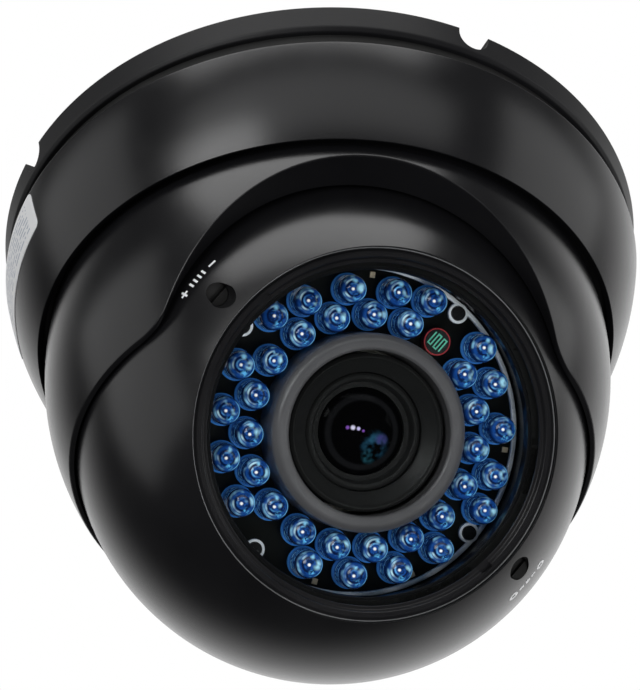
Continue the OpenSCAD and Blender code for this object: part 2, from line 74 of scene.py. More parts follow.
# ---- camera: its place is in metres, from the middle of the ceiling face ----
CAM_PLACE = Vector((-0.13092, -0.36511, -0.41310))
CAM_RIGHT = Vector((0.95390, -0.29754, -0.03918))
CAM_UP = Vector((-0.18442, -0.68416, 0.70563))
CAM_FORWARD = Vector((0.23676, 0.66587, 0.70750))
SENSOR_WIDTH = 36
FOCAL_LENGTH = 156.54
cam_data = bpy.data.cameras.new("camera")
cam_data.sensor_width = SENSOR_WIDTH
cam_data.lens = FOCAL_LENGTH
cam_data.clip_start = 0.01
cam_data.clip_end = 20
cam = bpy.data.objects.new("camera", cam_data)
SCENE.collection.objects.link(cam)
SCENE.camera = cam
cam_turn = Matrix((CAM_RIGHT, CAM_UP, -CAM_FORWARD)).transposed().to_4x4()
cam.matrix_world = Matrix.Translation(CAM_PLACE) @ cam_turn

# ---- mesh helpers ----
CREASE = 32  # degrees between faces that count as a sharp edge
WELD = 1e-7  # m
FACE_WEIGHT = 80
FILLET_STEPS = 4
FILLET_REACH = 0.45  # the most of a side that one fillet takes
ON_BALL_SLACK = 0.02  # mm


def new_object(name, verts, faces, matrix, materials=()):
    """A smooth mesh object, its points placed by the matrix."""
    mesh = bpy.data.meshes.new(name)
    mesh.from_pydata([matrix @ Vector(v) for v in verts], [], faces)
    mesh.validate()
    obj = bpy.data.objects.new(name, mesh)
    SCENE.collection.objects.link(obj)
    for material in materials:
        mesh.materials.append(material)
    mesh.polygons.foreach_set("use_smooth", [True] * len(mesh.polygons))
    return obj


def outward(obj):
    """Turns every face of a closed mesh outwards."""
    bm = bmesh.new()
    bm.from_mesh(obj.data)
    bmesh.ops.remove_doubles(bm, verts=bm.verts, dist=WELD)
    bmesh.ops.recalc_face_normals(bm, faces=bm.faces)
    bm.to_mesh(obj.data)
    bm.free()


def crisp(obj, angle=CREASE, weighted=True):
    """Marks sharp edges by angle and weights the normals by face area."""
    obj.data.set_sharp_from_angle(angle=math.radians(angle))
    if weighted:
        mod = obj.modifiers.new("weighted", "WEIGHTED_NORMAL")
        mod.keep_sharp = True
        mod.weight = FACE_WEIGHT


def bezier(start, corner, end, t):
    """A point on the curve that leaves start for the corner and arrives at end."""
    return start * (1 - t) ** 2 + corner * 2 * t * (1 - t) + end * t * t


def fillet(points, radii):
    """Rounds each corner of a closed profile by its own radius."""
    out = []
    for i, point in enumerate(points):
        corner = Vector(point)
        before = Vector(points[i - 1]) - corner
        after = Vector(points[(i + 1) % len(points)]) - corner
        size = min(radii[i], before.length * FILLET_REACH, after.length * FILLET_REACH)
        if size < 1e-4:
            out.append(tuple(corner))
            continue
        start = corner + before.normalized() * size
        end = corner + after.normalized() * size
        for k in range(FILLET_STEPS + 1):
            out.append(tuple(bezier(start, corner, end, k / FILLET_STEPS)))
    return out


def lathe(name, profile, matrix, segs=192, materials=(), close=True):
    """Revolves (radius, height) points round the local Z axis."""
    verts = []
    rings = []
    for r, h in profile:
        if abs(r) < 1e-6:
            rings.append([len(verts)] * segs)
            verts.append((0, 0, h))
        else:
            rings.append(list(range(len(verts), len(verts) + segs)))
            for k in range(segs):
                a = 2 * math.pi * k / segs
                verts.append((r * math.cos(a), r * math.sin(a), h))
    faces = []
    last = len(rings) if close else len(rings) - 1
    for i in range(last):
        lower = rings[i]
        upper = rings[(i + 1) % len(rings)]
        for k in range(segs):
            m = (k + 1) % segs
            quad = [lower[k], lower[m], upper[m], upper[k]]
            # beside the axis a quad shrinks to a triangle
            face = [v for j, v in enumerate(quad) if v != quad[j - 1]]
            if len(set(face)) >= 3:
                faces.append(face)
    obj = new_object(name, verts, faces, matrix, materials)
    outward(obj)
    return obj


def arc(cx, cy, r, start, end, steps):
    """Points on a circle, from one angle to the other in degrees."""
    points = []
    for k in range(steps + 1):
        a = math.radians(start + (end - start) * k / steps)
        points.append((cx + r * math.cos(a), cy + r * math.sin(a)))
    return points


def rod(radius, low, high, matrix, segs=48):
    """A plain round cutter."""
    profile = [(0, low), (radius, low), (radius, high), (0, high)]
    return lathe("cutter", profile, matrix, segs, close=False)


def block(corners, matrix):
    """A plain box, by its lowest and highest corners."""
    (x0, y0, z0), (x1, y1, z1) = corners
    verts = [(x, y, z) for x in (x0, x1) for y in (y0, y1) for z in (z0, z1)]
    faces = [(0, 1, 3, 2), (4, 6, 7, 5), (0, 4, 5, 1), (2, 3, 7, 6), (0, 2, 6, 4), (1, 5, 7, 3)]
    obj = new_object("cutter", verts, faces, matrix)
    outward(obj)
    return obj


def cut(obj, cutters):
    """Takes the cutters away from the object, and deletes them."""
    for cutter in cutters:
        mod = obj.modifiers.new("cut", "BOOLEAN")
        mod.operation = "DIFFERENCE"
        mod.solver = "EXACT"
        mod.object = cutter
    graph = bpy.context.evaluated_depsgraph_get()
    mesh = bpy.data.meshes.new_from_object(obj.evaluated_get(graph))
    obj.modifiers.clear()
    old = obj.data
    obj.data = mesh
    bpy.data.meshes.remove(old)
    for cutter in cutters:
        bpy.data.objects.remove(cutter)
    mesh.polygons.foreach_set("use_smooth", [True] * len(mesh.polygons))


def ball_normals(obj, centre, radius):
    """Gives the faces that lie on a ball the ball's own normals."""
    mesh = obj.data
    mesh.set_sharp_from_angle(angle=math.radians(CREASE))
    loop_normals = [Vector(c.vector) for c in mesh.corner_normals]
    for poly in mesh.polygons:
        points = [mesh.vertices[v].co - centre for v in poly.vertices]
        if all(abs(p.length - radius) < ON_BALL_SLACK * MM for p in points):
            for k, corner in enumerate(poly.loop_indices):
                loop_normals[corner] = points[k].normalized()
    mesh.normals_split_custom_set(loop_normals)


def join(name, objs):
    """Joins objects into one."""
    target = objs[0]
    for obj in bpy.context.selected_objects:
        obj.select_set(False)
    for obj in objs:
        obj.select_set(True)
    bpy.context.view_layer.objects.active = target
    bpy.ops.object.join()
    target.name = name
    target.select_set(False)
    return target


# ---- shader helpers ----
def shader(name):
    """A new material, its node tree and its main shader."""
    mat = bpy.data.materials.new(name)
    mat.use_nodes = True
    tree = mat.node_tree
    return mat, tree, tree.nodes["Principled BSDF"]


def noise(tree, scale, detail=3.0, rough=0.5):
    """A noise fixed to the piece."""
    coord = tree.nodes.new("ShaderNodeTexCoord")
    tex = tree.nodes.new("ShaderNodeTexNoise")
    tex.inputs["Scale"].default_value = scale
    tex.inputs["Detail"].default_value = detail
    tex.inputs["Roughness"].default_value = rough
    tree.links.new(coord.outputs["Object"], tex.inputs["Vector"])
    return tex.outputs["Fac"]


def ramp(tree, value, stops):
    """A colour by a value, through (place, colour) stops."""
    node = tree.nodes.new("ShaderNodeValToRGB")
    for element, (place, colour) in zip(node.color_ramp.elements, stops):
        element.position = place
        element.color = (*colour, 1)
    tree.links.new(value, node.inputs["Fac"])
    return node.outputs["Color"]


def span(tree, value, low, high):
    """Spreads a value from 0..1 to low..high."""
    node = tree.nodes.new("ShaderNodeMapRange")
    node.inputs["To Min"].default_value = low
    node.inputs["To Max"].default_value = high
    tree.links.new(value, node.inputs["Value"])
    return node.outputs["Result"]


def bump(tree, bsdf, value, strength, distance):
    """Raises the surface by a value."""
    node = tree.nodes.new("ShaderNodeBump")
    node.inputs["Strength"].default_value = strength
    node.inputs["Distance"].default_value = distance
    tree.links.new(value, node.inputs["Height"])
    tree.links.new(node.outputs["Normal"], bsdf.inputs["Normal"])


def scalar(tree, op, a, b=0.0):
    """One sum on two values, each a number or a socket."""
    node = tree.nodes.new("ShaderNodeMath")
    node.operation = op
    for i, value in enumerate((a, b)):
        if isinstance(value, (int, float)):
            node.inputs[i].default_value = value
        else:
            tree.links.new(value, node.inputs[i])
    return node.outputs[0]


def times(tree, first, *others):
    """The product of several values."""
    for other in others:
        first = scalar(tree, "MULTIPLY", first, other)
    return first


def fade(tree, value, start, end):
    """One at start, nothing at end, smooth between."""
    node = tree.nodes.new("ShaderNodeMapRange")
    node.interpolation_type = "SMOOTHSTEP"
    node.inputs["From Min"].default_value = start
    node.inputs["From Max"].default_value = end
    node.inputs["To Min"].default_value = 1
    node.inputs["To Max"].default_value = 0
    tree.links.new(value, node.inputs["Value"])
    return node.outputs["Result"]


def over(tree, share, below, above):
    """Lays one colour over another, each a colour or a socket."""
    node = tree.nodes.new("ShaderNodeMix")
    node.data_type = "RGBA"
    # sockets 6 and 7 are the two colours, and output 2 is the colour that results
    for i, value in ((0, share), (6, below), (7, above)):
        if isinstance(value, tuple):
            node.inputs[i].default_value = (*value, 1)
        else:
            tree.links.new(value, node.inputs[i])
    return node.outputs[2]


# ---- plain finishes ----
TONE_SCALE = 45
GLOSS_SCALE = 180
GRAIN_DEPTH = 0.00006


def coated(name, dark, light, rough, grain, depth, metallic=0.0, spec=0.5):
    """A finish with a slow change of tone, a broken gloss and a fine grain."""
    mat, tree, b = shader(name)
    tone = ramp(tree, noise(tree, TONE_SCALE, 4), [(0.3, dark), (0.7, light)])
    tree.links.new(tone, b.inputs["Base Color"])
    fine = noise(tree, grain, 2, 0.6)
    broad = noise(tree, GLOSS_SCALE, 4)
    gloss = scalar(tree, "ADD", times(tree, broad, 0.6), times(tree, fine, 0.4))
    tree.links.new(span(tree, gloss, rough[0], rough[1]), b.inputs["Roughness"])
    bump(tree, b, fine, depth, GRAIN_DEPTH)
    b.inputs["Metallic"].default_value = metallic
    b.inputs["Specular IOR Level"].default_value = spec
    return mat


PAINT = coated("housing_paint", (0.0045, 0.0045, 0.0052), (0.0070, 0.0070, 0.0079),
               (0.20, 0.30), 2600, 0.16)
FLANGE_PAINT = coated("flange_paint", (0.0055, 0.0055, 0.0063), (0.0085, 0.0085, 0.0095),
                      (0.40, 0.52), 2600, 0.2, spec=0.3)
RING_PAINT = coated("ring_paint", (0.007, 0.007, 0.008), (0.011, 0.011, 0.012),
                    (0.20, 0.30), 2200, 0.08)
RUBBER = coated("seal_rubber", (0.006, 0.006, 0.006), (0.012, 0.012, 0.012),
                (0.65, 0.85), 3000, 0.25, spec=0.3)
STEEL = coated("screw_steel", (0.42, 0.42, 0.44), (0.62, 0.62, 0.64),
               (0.18, 0.36), 2400, 0.1, metallic=1.0)
GLIDE = coated("glide_plastic", (0.55, 0.55, 0.52), (0.68, 0.68, 0.65),
               (0.4, 0.55), 2000, 0.1)
ALLOY = coated("bare_alloy", (0.36, 0.36, 0.38), (0.5, 0.5, 0.52),
               (0.3, 0.5), 1500, 0.2, metallic=1.0)
FELT = coated("felt_pad", (0.16, 0.16, 0.15), (0.3, 0.3, 0.28),
              (0.85, 1.0), 4000, 0.6, spec=0.2)
LAMINATE = coated("board_laminate", (0.003, 0.0032, 0.003), (0.007, 0.0075, 0.0065),
                  (0.45, 0.6), 1400, 0.15, spec=0.2)
GREEN_BOARD = coated("inner_board_laminate", (0.01, 0.06, 0.03), (0.02, 0.1, 0.05),
                     (0.3, 0.45), 1200, 0.15)
CHIP = coated("chip_ceramic", (0.30, 0.24, 0.16), (0.55, 0.46, 0.33),
              (0.3, 0.5), 3000, 0.2)
SHROUD = coated("shroud_plastic", (0.070, 0.067, 0.071), (0.108, 0.103, 0.108),
                (0.26, 0.36), 2800, 0.25)
BARREL = coated("lens_black", (0.010, 0.010, 0.010), (0.016, 0.016, 0.016),
                (0.30, 0.44), 2400, 0.2, spec=0.3)
FRAME_PLASTIC = coated("frame_plastic", (0.02, 0.02, 0.02), (0.04, 0.04, 0.04),
                       (0.45, 0.6), 1500, 0.2)
BRASS = coated("standoff_brass", (0.55, 0.40, 0.16), (0.70, 0.52, 0.24),
               (0.25, 0.4), 1500, 0.1, metallic=1.0)
GEAR = coated("gear_plastic", (0.55, 0.53, 0.47), (0.66, 0.64, 0.58),
              (0.4, 0.55), 1500, 0.15)
DARK_PLUG = coated("adjuster_black", (0.010, 0.010, 0.010), (0.02, 0.02, 0.02),
                   (0.35, 0.55), 2400, 0.2)
SILVER = coated("ring_silver", (0.78, 0.80, 0.84), (0.90, 0.92, 0.95),
                (0.2, 0.34), 2000, 0.06, metallic=0.05)
# painted highlight: a lighter grey for the window ring's outer edge, standing in for its thin bright line
RIM_HIGHLIGHT = coated("painted_edge_highlight", (0.16, 0.165, 0.17), (0.26, 0.265, 0.275),
              (0.18, 0.3), 2200, 0.06, metallic=0.35)
PRINT = coated("white_print", (0.84, 0.85, 0.86), (0.93, 0.94, 0.95),
               (0.45, 0.6), 3000, 0.15)
TRACE = coated("green_trace", (0.10, 0.50, 0.34), (0.20, 0.75, 0.55),
               (0.3, 0.4), 3000, 0.1)
RED_RIM = coated("photocell_rim", (0.22, 0.014, 0.018), (0.62, 0.07, 0.08),
                 (0.3, 0.4), 2500, 0.1)
CELL_DARK = coated("photocell_face", (0.012, 0.015, 0.015), (0.03, 0.035, 0.035),
                   (0.2, 0.3), 2500, 0.1)
BLACK_SCREW = coated("black_screw", (0.03, 0.03, 0.032), (0.05, 0.05, 0.052),
                     (0.16, 0.28), 2500, 0.1, metallic=0.6)

# ---- window glass, LED resin, front lens and label film ----
PANE_IOR = 1.08
PANE_TINT = (0.97, 0.985, 0.985, 1)
LED_R = 2.45
LENS_R = 7.5
UV_WIDTH = 20  # mm that the stored places cover, centred on the piece


def pane_material():
    """Clear glass that lets lamps through and mirrors by its angle."""
    mat = bpy.data.materials.new("window_glass")
    mat.use_nodes = True
    tree = mat.node_tree
    tree.nodes.clear()
    out = tree.nodes.new("ShaderNodeOutputMaterial")
    clear = tree.nodes.new("ShaderNodeBsdfTransparent")
    clear.inputs["Color"].default_value = PANE_TINT
    gloss = tree.nodes.new("ShaderNodeBsdfGlossy")
    tree.links.new(span(tree, noise(tree, 60, 3), 0.0, 0.03), gloss.inputs["Roughness"])
    mirror = tree.nodes.new("ShaderNodeFresnel")
    mirror.inputs["IOR"].default_value = PANE_IOR
    mix = tree.nodes.new("ShaderNodeMixShader")
    tree.links.new(mirror.outputs[0], mix.inputs[0])
    tree.links.new(clear.outputs[0], mix.inputs[1])
    tree.links.new(gloss.outputs[0], mix.inputs[2])
    tree.links.new(mix.outputs[0], out.inputs["Surface"])
    return mat


def flat_uv(obj, matrix, roll=0.0):
    """Stores each vertex's local place and height for the shaders."""
    back = Matrix.Rotation(roll, 4, "Z") @ matrix.inverted()
    flat = obj.data.uv_layers.new(name="flat")
    tall = obj.data.uv_layers.new(name="height")
    for loop in obj.data.loops:
        v = back @ obj.data.vertices[loop.vertex_index].co
        flat.data[loop.index].uv = (v.x / UV_WIDTH + 0.5, v.y / UV_WIDTH + 0.5)
        tall.data[loop.index].uv = (v.z / UV_WIDTH + 0.5, 0.5)


def uv_place(tree, layer, size):
    """The stored place on a piece, in units of size mm."""
    uv = tree.nodes.new("ShaderNodeUVMap")
    uv.uv_map = layer
    shift = tree.nodes.new("ShaderNodeVectorMath")
    shift.operation = "MULTIPLY_ADD"
    units = UV_WIDTH / size
    shift.inputs[1].default_value = (units, units, 0)
    shift.inputs[2].default_value = (-units / 2, -units / 2, 0)
    tree.links.new(uv.outputs[0], shift.inputs[0])
    return shift.outputs[0]


def axis(tree, vector, letter):
    """One part of a vector."""
    node = tree.nodes.new("ShaderNodeSeparateXYZ")
    tree.links.new(vector, node.inputs[0])
    return node.outputs[letter]


def reach(tree, place, x, y):
    """How far a place is from the point x, y."""
    node = tree.nodes.new("ShaderNodeVectorMath")
    node.operation = "DISTANCE"
    node.inputs[1].default_value = (x, y, 0)
    tree.links.new(place, node.inputs[0])
    return node.outputs["Value"]


def near_to(tree, value, level, width):
    """One where a value is at the level, and nothing a width away."""
    away = scalar(tree, "ABSOLUTE", scalar(tree, "SUBTRACT", value, level))
    return fade(tree, away, width * 0.3, width)


def hoop_of(tree, place, x, y, radius, width):
    """A soft ring round the point x, y."""
    return near_to(tree, reach(tree, place, x, y), radius, width)


def light_material():
    """Blue-tinted resin with painted light: its reflector cup, leads and die drawn as painted reflection arcs,
    painted highlight spots and painted shade, with a faint painted glow.
    """
    mat, tree, b = shader("led_resin")
    place = uv_place(tree, "flat", LED_R)
    across = axis(tree, place, "X")
    height = axis(tree, uv_place(tree, "height", 1.0), "X")
    mottle = noise(tree, 1700, 2, 0.6)
    vary = noise(tree, 620, 1, 0.5)
    crumb = fade(tree, mottle, 0.60, 0.42)
    rho = reach(tree, place, 0, 0)
    # painted shade: the dome darker towards its rim round the cup, dark broken facets, and a dark gap round the
    # cup's floor
    col = over(tree, fade(tree, rho, 0.78, 0.96), (0.003, 0.016, 0.08), (0.010, 0.070, 0.31))
    facet_shade = times(tree, fade(tree, rho, 0.5, 0.9), crumb)
    col = over(tree, facet_shade, col, (0.004, 0.022, 0.10))
    col = over(tree, hoop_of(tree, place, -0.12, 0.02, 0.50, 0.11), col, (0.003, 0.012, 0.06))
    # painted reflections of the cup: bright arcs on the left
    lefts = fade(tree, across, -0.45, 0.20)
    broken = fade(tree, vary, 0.74, 0.40)
    for x, radius, width, tone in (
        (-0.02, 0.86, 0.10, (0.34, 0.72, 1.0)),
        (-0.06, 0.66, 0.09, (0.60, 0.88, 1.0)),
        (-0.14, 0.34, 0.08, (0.16, 0.50, 0.95)),
    ):
        painted_arc = times(tree, hoop_of(tree, place, x, 0.04, radius, width), lefts, broken)
        col = over(tree, painted_arc, col, tone)
    # three painted highlights: place, reach of the full and the fading part, what breaks it, colour
    for x, y, full, end, breaks, tone in (
        (0.42, 0.14, 0.12, 0.48, fade(tree, vary, 0.62, 0.40), (0.42, 0.80, 1.0)),
        (0.20, -0.52, 0.05, 0.36, crumb, (0.14, 0.55, 1.0)),
        (-0.10, 0.62, 0.04, 0.28, fade(tree, vary, 0.58, 0.42), (0.30, 0.70, 1.0)),
    ):
        painted_gleam = times(tree, fade(tree, reach(tree, place, x, y), full, end), breaks)
        col = over(tree, painted_gleam, col, tone)
    # a painted reflection arc on the right, and a painted white highlight at the die
    rights = fade(tree, across, 0.75, 0.35)
    painted_arc = times(tree, hoop_of(tree, place, 0, 0, 0.84, 0.06), rights)
    col = over(tree, painted_arc, col, (0.22, 0.62, 1.0))
    col = over(tree, fade(tree, reach(tree, place, -0.20, 0.0), 0.05, 0.15), col, (1.0, 1.0, 1.0))
    # the body and collar below the dome: painted highlight bands by height, in mm above the board
    side = (0.006, 0.036, 0.17)
    for level, width, tone in (
        (2.75, 0.30, (0.30, 0.72, 1.0)),
        (3.7, 0.28, (0.10, 0.42, 0.90)),
        (4.7, 0.30, (0.22, 0.60, 1.0)),
    ):
        side = over(tree, near_to(tree, height, level, width), side, tone)
    side = over(tree, crumb, side, (0.008, 0.04, 0.18))
    side = over(tree, fade(tree, height, 1.9, 2.3), side, (0.05, 0.24, 0.66))
    col = over(tree, fade(tree, height, 5.3, 5.9), col, side)
    tree.links.new(col, b.inputs["Base Color"])
    # painted glow: the painted colours, highlights too, also given as a faint emission though the lights are off
    tree.links.new(col, b.inputs["Emission Color"])
    b.inputs["Emission Strength"].default_value = 0.12
    tree.links.new(span(tree, mottle, 0.03, 0.12), b.inputs["Roughness"])
    bump(tree, b, vary, 0.05, 0.00005)
    b.inputs["Specular IOR Level"].default_value = 0.6
    return mat


def front_glass_material():
    """Coated front glass: black in depth, with painted coloured reflections on its coating."""
    mat, tree, b = shader("lens_glass")
    place = uv_place(tree, "flat", LENS_R)
    mottle = noise(tree, 420, 2, 0.7)
    ring_on = hoop_of(tree, place, 0.02, -0.02, 0.80, 0.10)
    col = over(tree, ring_on, (0.0012, 0.0012, 0.0014), (0.008, 0.008, 0.009))
    broken = fade(tree, mottle, 0.72, 0.34)
    # painted reflection: the broad teal and violet gleam, lower right
    for x, y, r, tone in (
        (0.34, -0.26, 0.40, (0.020, 0.085, 0.150)),
        (0.27, -0.52, 0.22, (0.030, 0.140, 0.190)),
        (0.48, -0.12, 0.20, (0.045, 0.040, 0.160)),
    ):
        painted_gleam = times(tree, fade(tree, reach(tree, place, x, y), r * 0.3, r), broken)
        col = over(tree, painted_gleam, col, tone)
    # painted reflections: a row of four small spots
    for x, y, r, tone in (
        (-0.36, 0.03, 0.06, (0.22, 0.08, 0.42)),
        (-0.24, 0.05, 0.075, (0.75, 0.68, 0.90)),
        (-0.11, 0.05, 0.060, (0.60, 0.52, 0.85)),
        (0.01, 0.02, 0.045, (0.22, 0.08, 0.42)),
    ):
        col = over(tree, fade(tree, reach(tree, place, x, y), r * 0.3, r), col, tone)
    tree.links.new(col, b.inputs["Base Color"])
    tree.links.new(span(tree, mottle, 0.02, 0.06), b.inputs["Roughness"])
    b.inputs["Specular IOR Level"].default_value = 0.03
    return mat


def label_material():
    """White film with pale rules in place of print."""
    mat, tree, b = shader("label_film")
    coord = tree.nodes.new("ShaderNodeTexCoord")
    across = axis(tree, coord.outputs["UV"], "X")
    up = axis(tree, coord.outputs["UV"], "Y")
    stretch = tree.nodes.new("ShaderNodeMapping")
    stretch.inputs["Scale"].default_value = (34, 9, 1)
    tree.links.new(coord.outputs["UV"], stretch.inputs["Vector"])
    dashes = tree.nodes.new("ShaderNodeTexNoise")
    dashes.inputs["Scale"].default_value = 1.0
    dashes.inputs["Detail"].default_value = 0
    tree.links.new(stretch.outputs["Vector"], dashes.inputs["Vector"])
    row_on = scalar(tree, "GREATER_THAN", scalar(tree, "FRACT", times(tree, up, 9.0)), 0.62)
    ink = times(
        tree, row_on,
        scalar(tree, "GREATER_THAN", dashes.outputs["Fac"], 0.44),
        scalar(tree, "GREATER_THAN", across, 0.06),
        scalar(tree, "LESS_THAN", across, 0.92),
        scalar(tree, "GREATER_THAN", up, 0.14),
        scalar(tree, "LESS_THAN", up, 0.88),
    )
    tone = ramp(tree, ink, [(0.0, (0.80, 0.81, 0.82)), (1.0, (0.38, 0.42, 0.50))])
    tree.links.new(tone, b.inputs["Base Color"])
    tree.links.new(span(tree, noise(tree, 300, 3), 0.3, 0.45), b.inputs["Roughness"])
    return mat


PANE = pane_material()
RESIN = light_material()
LENS_GLASS = front_glass_material()
LABEL = label_material()

# ---- finishes of the CAD nodes that stay ----
BY_SLOT = {
    "housing_paint": PAINT, "ring_paint": RING_PAINT, "seal_rubber": RUBBER,
    "screw_steel": STEEL, "glide_plastic": GLIDE, "bare_alloy": ALLOY, "label_film": LABEL,
    "felt_pad": FELT, "window_glass": PANE, "board_laminate": LAMINATE, "led_resin": RESIN,
    "chip_ceramic": CHIP, "shroud_plastic": SHROUD, "lens_black": BARREL,
    "lens_glass": LENS_GLASS, "frame_plastic": FRAME_PLASTIC, "standoff_brass": BRASS,
    "gear_plastic": GEAR,
}
# painted shade: the two adjusters get the near-black finish in place of steel, as dark as the shade down their
# holes
BY_NODE = {
    "focus_adjuster": DARK_PLUG, "zoom_adjuster": DARK_PLUG, "main_board": GREEN_BOARD,
    "sensor_board": GREEN_BOARD, "image_sensor": DARK_PLUG, "main_board_parts": DARK_PLUG,
    "lens_iris": BARREL, "board_screws": BLACK_SCREW,
}
for entry in frame["record"]["subparts"]:
    obj = frame["nodes"].get(entry["node"])
    finish = BY_NODE.get(entry["node"], BY_SLOT.get(entry["material_slot"]))
    if obj is not None and finish is not None:
        obj.data.materials.clear()
        obj.data.materials.append(finish)

# ---- mounting base ----
BASE_TURN = -80
BASE_FACE = DROP - 0.5  # the side towards the ceiling
BASE_WALL = 2.6
low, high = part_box("mounting_base")
FLANGE_R = (high.x - low.x) / 2 / MM
CABLE_R = 8
HOLE_R = 2.25
HOLE_TURN = BASE_TURN + 45
HOLE_PLACE = 40
NOTCH_R = 2.95
NOTCH_PLACE = FLANGE_R - 3.4
NOTCH_MIDDLE = BASE_FACE - 3.7 + NOTCH_R

BASE_PROFILE = [
    (0, BASE_FACE), (FLANGE_R, BASE_FACE), (FLANGE_R - 0.8, 40.1), (FLANGE_R - 1.4, 39.4),
    (54.3, 39.4), (54.3, 30.2), (53.5, 30.2), (53.5, 24.4), (51.9, 24.4), (51.9, 28.9),
    (48.5, 28.9), (48.5, 31), (51.2, 33), (51.2, BASE_FACE - BASE_WALL),
    (0, BASE_FACE - BASE_WALL),
]
BASE_FILLETS = [0, 0.3, 0.25, 0.25, 0.2, 0.2, 0.1, 0.2, 0.2, 0.1, 0.2, 0.1, 0.1, 0.1, 0]
base = lathe("base_flange", fillet(BASE_PROFILE, BASE_FILLETS), AT_BALL, 256, [FLANGE_PAINT],
             close=False)
cutters = [rod(CABLE_R, BASE_FACE - 4, BASE_FACE + 1, AT_BALL)]
# three holes for the ceiling screws
for k in range(3):
    at = turned(AT_BALL, HOLE_TURN + 120 * k) @ Matrix.Translation((HOLE_PLACE, 0, 0))
    cutters.append(rod(HOLE_R, BASE_FACE - 4, BASE_FACE + 1, at, 32))
# four round notches in the flange's edge, open to the ceiling
for k in range(4):
    at = turned(AT_BALL, BASE_TURN + 90 * k)
    centre = Matrix.Translation((NOTCH_PLACE, 0, NOTCH_MIDDLE))
    cutters.append(rod(NOTCH_R, 0, 6, at @ centre @ ON_SIDE, 40))
    cutters.append(block(((NOTCH_PLACE, -NOTCH_R, NOTCH_MIDDLE),
                          (FLANGE_R + 2.6, NOTCH_R, BASE_FACE + 1)), at))
cut(base, cutters)
crisp(base)
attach(base, "housing")
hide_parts("mounting_base")

# ---- outer cover ----
ARC_X = 4.46
ARC_Z = 43.89
ARC_R = 54.87
COVER_LOW = 17.2
COVER_TALL = 18.4
COVER_TOP = 35.6
COVER_ROWS = 30
LOCK_R = 1.3
LOCK_HEIGHT = 33.6


def cover_r(z):
    """The cover's radius at a height: a big arc with its centre off the axis."""
    return ARC_X + math.sqrt(ARC_R ** 2 - (z - ARC_Z) ** 2)


outer = []
for k in range(COVER_ROWS + 1):
    z = COVER_LOW + COVER_TALL * k / COVER_ROWS
    outer.append((cover_r(z), z))
inner = [(55.5, COVER_TOP), (55.5, 27.5), (54.2, 26.9), (54.2, 24.2), (52.6, 23.2),
         (52.6, 19.4), (51.35, 19.4), (51.35, 18.1), (52.25, COVER_LOW)]
radii = [0.22] + [0] * (COVER_ROWS - 1) + [0.25, 0.25] + [0.1] * 6 + [0.15, 0.12]
cover = lathe("cover_shell", fillet(outer + inner, radii), AT_BALL, 320, [PAINT])
at = turned(AT_BALL, BASE_TURN + 180) @ Matrix.Translation((54, 0, LOCK_HEIGHT))
cut(cover, [rod(LOCK_R, 0, 8, at @ ON_SIDE, 32)])
crisp(cover, 40)
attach(cover, "housing")
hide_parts("outer_cover")

# ---- printed label on the cover's side ----
LABEL_START = -207  # degrees round the cover
LABEL_SWEEP = 36
LABEL_LOW = 27.5
LABEL_TALL = 7.7
LABEL_ROUND = 1.2
LABEL_PULL = 0.7
LABEL_LIFTS = (0.125, 0.02)  # the film's two faces over the cover
NA = 40
NZ = 12
verts = []
faces = []
uvs = []
for lift in LABEL_LIFTS:
    for i in range(NA + 1):
        for j in range(NZ + 1):
            a = math.radians(LABEL_START + LABEL_SWEEP * i / NA)
            z = LABEL_LOW + LABEL_TALL * j / NZ
            u = i / NA
            v = j / NZ
            # the corners drawn in a little
            du = min(u, 1 - u) * LABEL_SWEEP
            dv = min(v, 1 - v) * LABEL_TALL
            if du < LABEL_ROUND and dv < LABEL_ROUND:
                pull = LABEL_ROUND - math.hypot(LABEL_ROUND - du, LABEL_ROUND - dv)
                if pull < 0:
                    z += (-pull if v < 0.5 else pull) * LABEL_PULL
                    a += math.radians((-pull if u < 0.5 else pull) * LABEL_PULL)
            r = cover_r(z) + lift
            verts.append((r * math.cos(a), r * math.sin(a), z))
            uvs.append((u, v))
face_size = (NA + 1) * (NZ + 1)
for s in (0, 1):
    for i in range(NA):
        for j in range(NZ):
            k = s * face_size + i * (NZ + 1) + j
            quad = [k, k + 1, k + NZ + 2, k + NZ + 1]
            faces.append(quad if s else quad[::-1])
# the film's thin edge, all the way round
rim = [i * (NZ + 1) for i in range(NA + 1)]
rim += [NA * (NZ + 1) + j for j in range(1, NZ + 1)]
rim += [i * (NZ + 1) + NZ for i in range(NA - 1, -1, -1)]
rim += list(range(NZ - 1, 0, -1))
for a, b in zip(rim, rim[1:] + rim[:1]):
    faces.append([a, b, b + face_size, a + face_size])
label = new_object("side_label", verts, faces, AT_BALL, [LABEL])
layer = label.data.uv_layers.new(name="UVMap")
for loop in label.data.loops:
    layer.data[loop.index].uv = uvs[loop.vertex_index]
crisp(label, 40)
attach(label, "housing")
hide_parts("rating_label")

# ---- hood ----
HOOD_TURN = -8.5
HOOD_R = 50.95  # the outer ball
HOOD_RISE = 11.36  # the outer ball's centre above the eyeball's
HOOD_IN = 46.4  # the inner ball, round the eyeball's centre
SKIRT = -10.3  # height of the lower edge
ARCH_R = 35.75
ARCH_DROP = -20.85
FOOT_R = 4.0  # the round where the arch meets the skirt
NARCH = 110
NFOOT = 14
NSKIRT = 150
foot_z = SKIRT + FOOT_R
foot_x = math.sqrt((ARCH_R + FOOT_R) ** 2 - (foot_z - ARCH_DROP) ** 2)
touch = math.atan2(foot_x, foot_z - ARCH_DROP)


def slice_r(radius, z):
    """The radius of a ball where it is cut at a height from its centre."""
    return math.sqrt(radius ** 2 - z ** 2)


def round_point(azimuth, z, r):
    """A point at a radius and height, its angle counted from the front."""
    return Vector((r * math.sin(azimuth), -r * math.cos(azimuth), z))


def outer_point(azimuth, z):
    """A point on the hood's outer ball."""
    return round_point(azimuth, z, slice_r(HOOD_R, z - HOOD_RISE))


def inner_point(azimuth, z):
    """A point on the hood's inner ball."""
    return round_point(azimuth, z, slice_r(HOOD_IN, z))


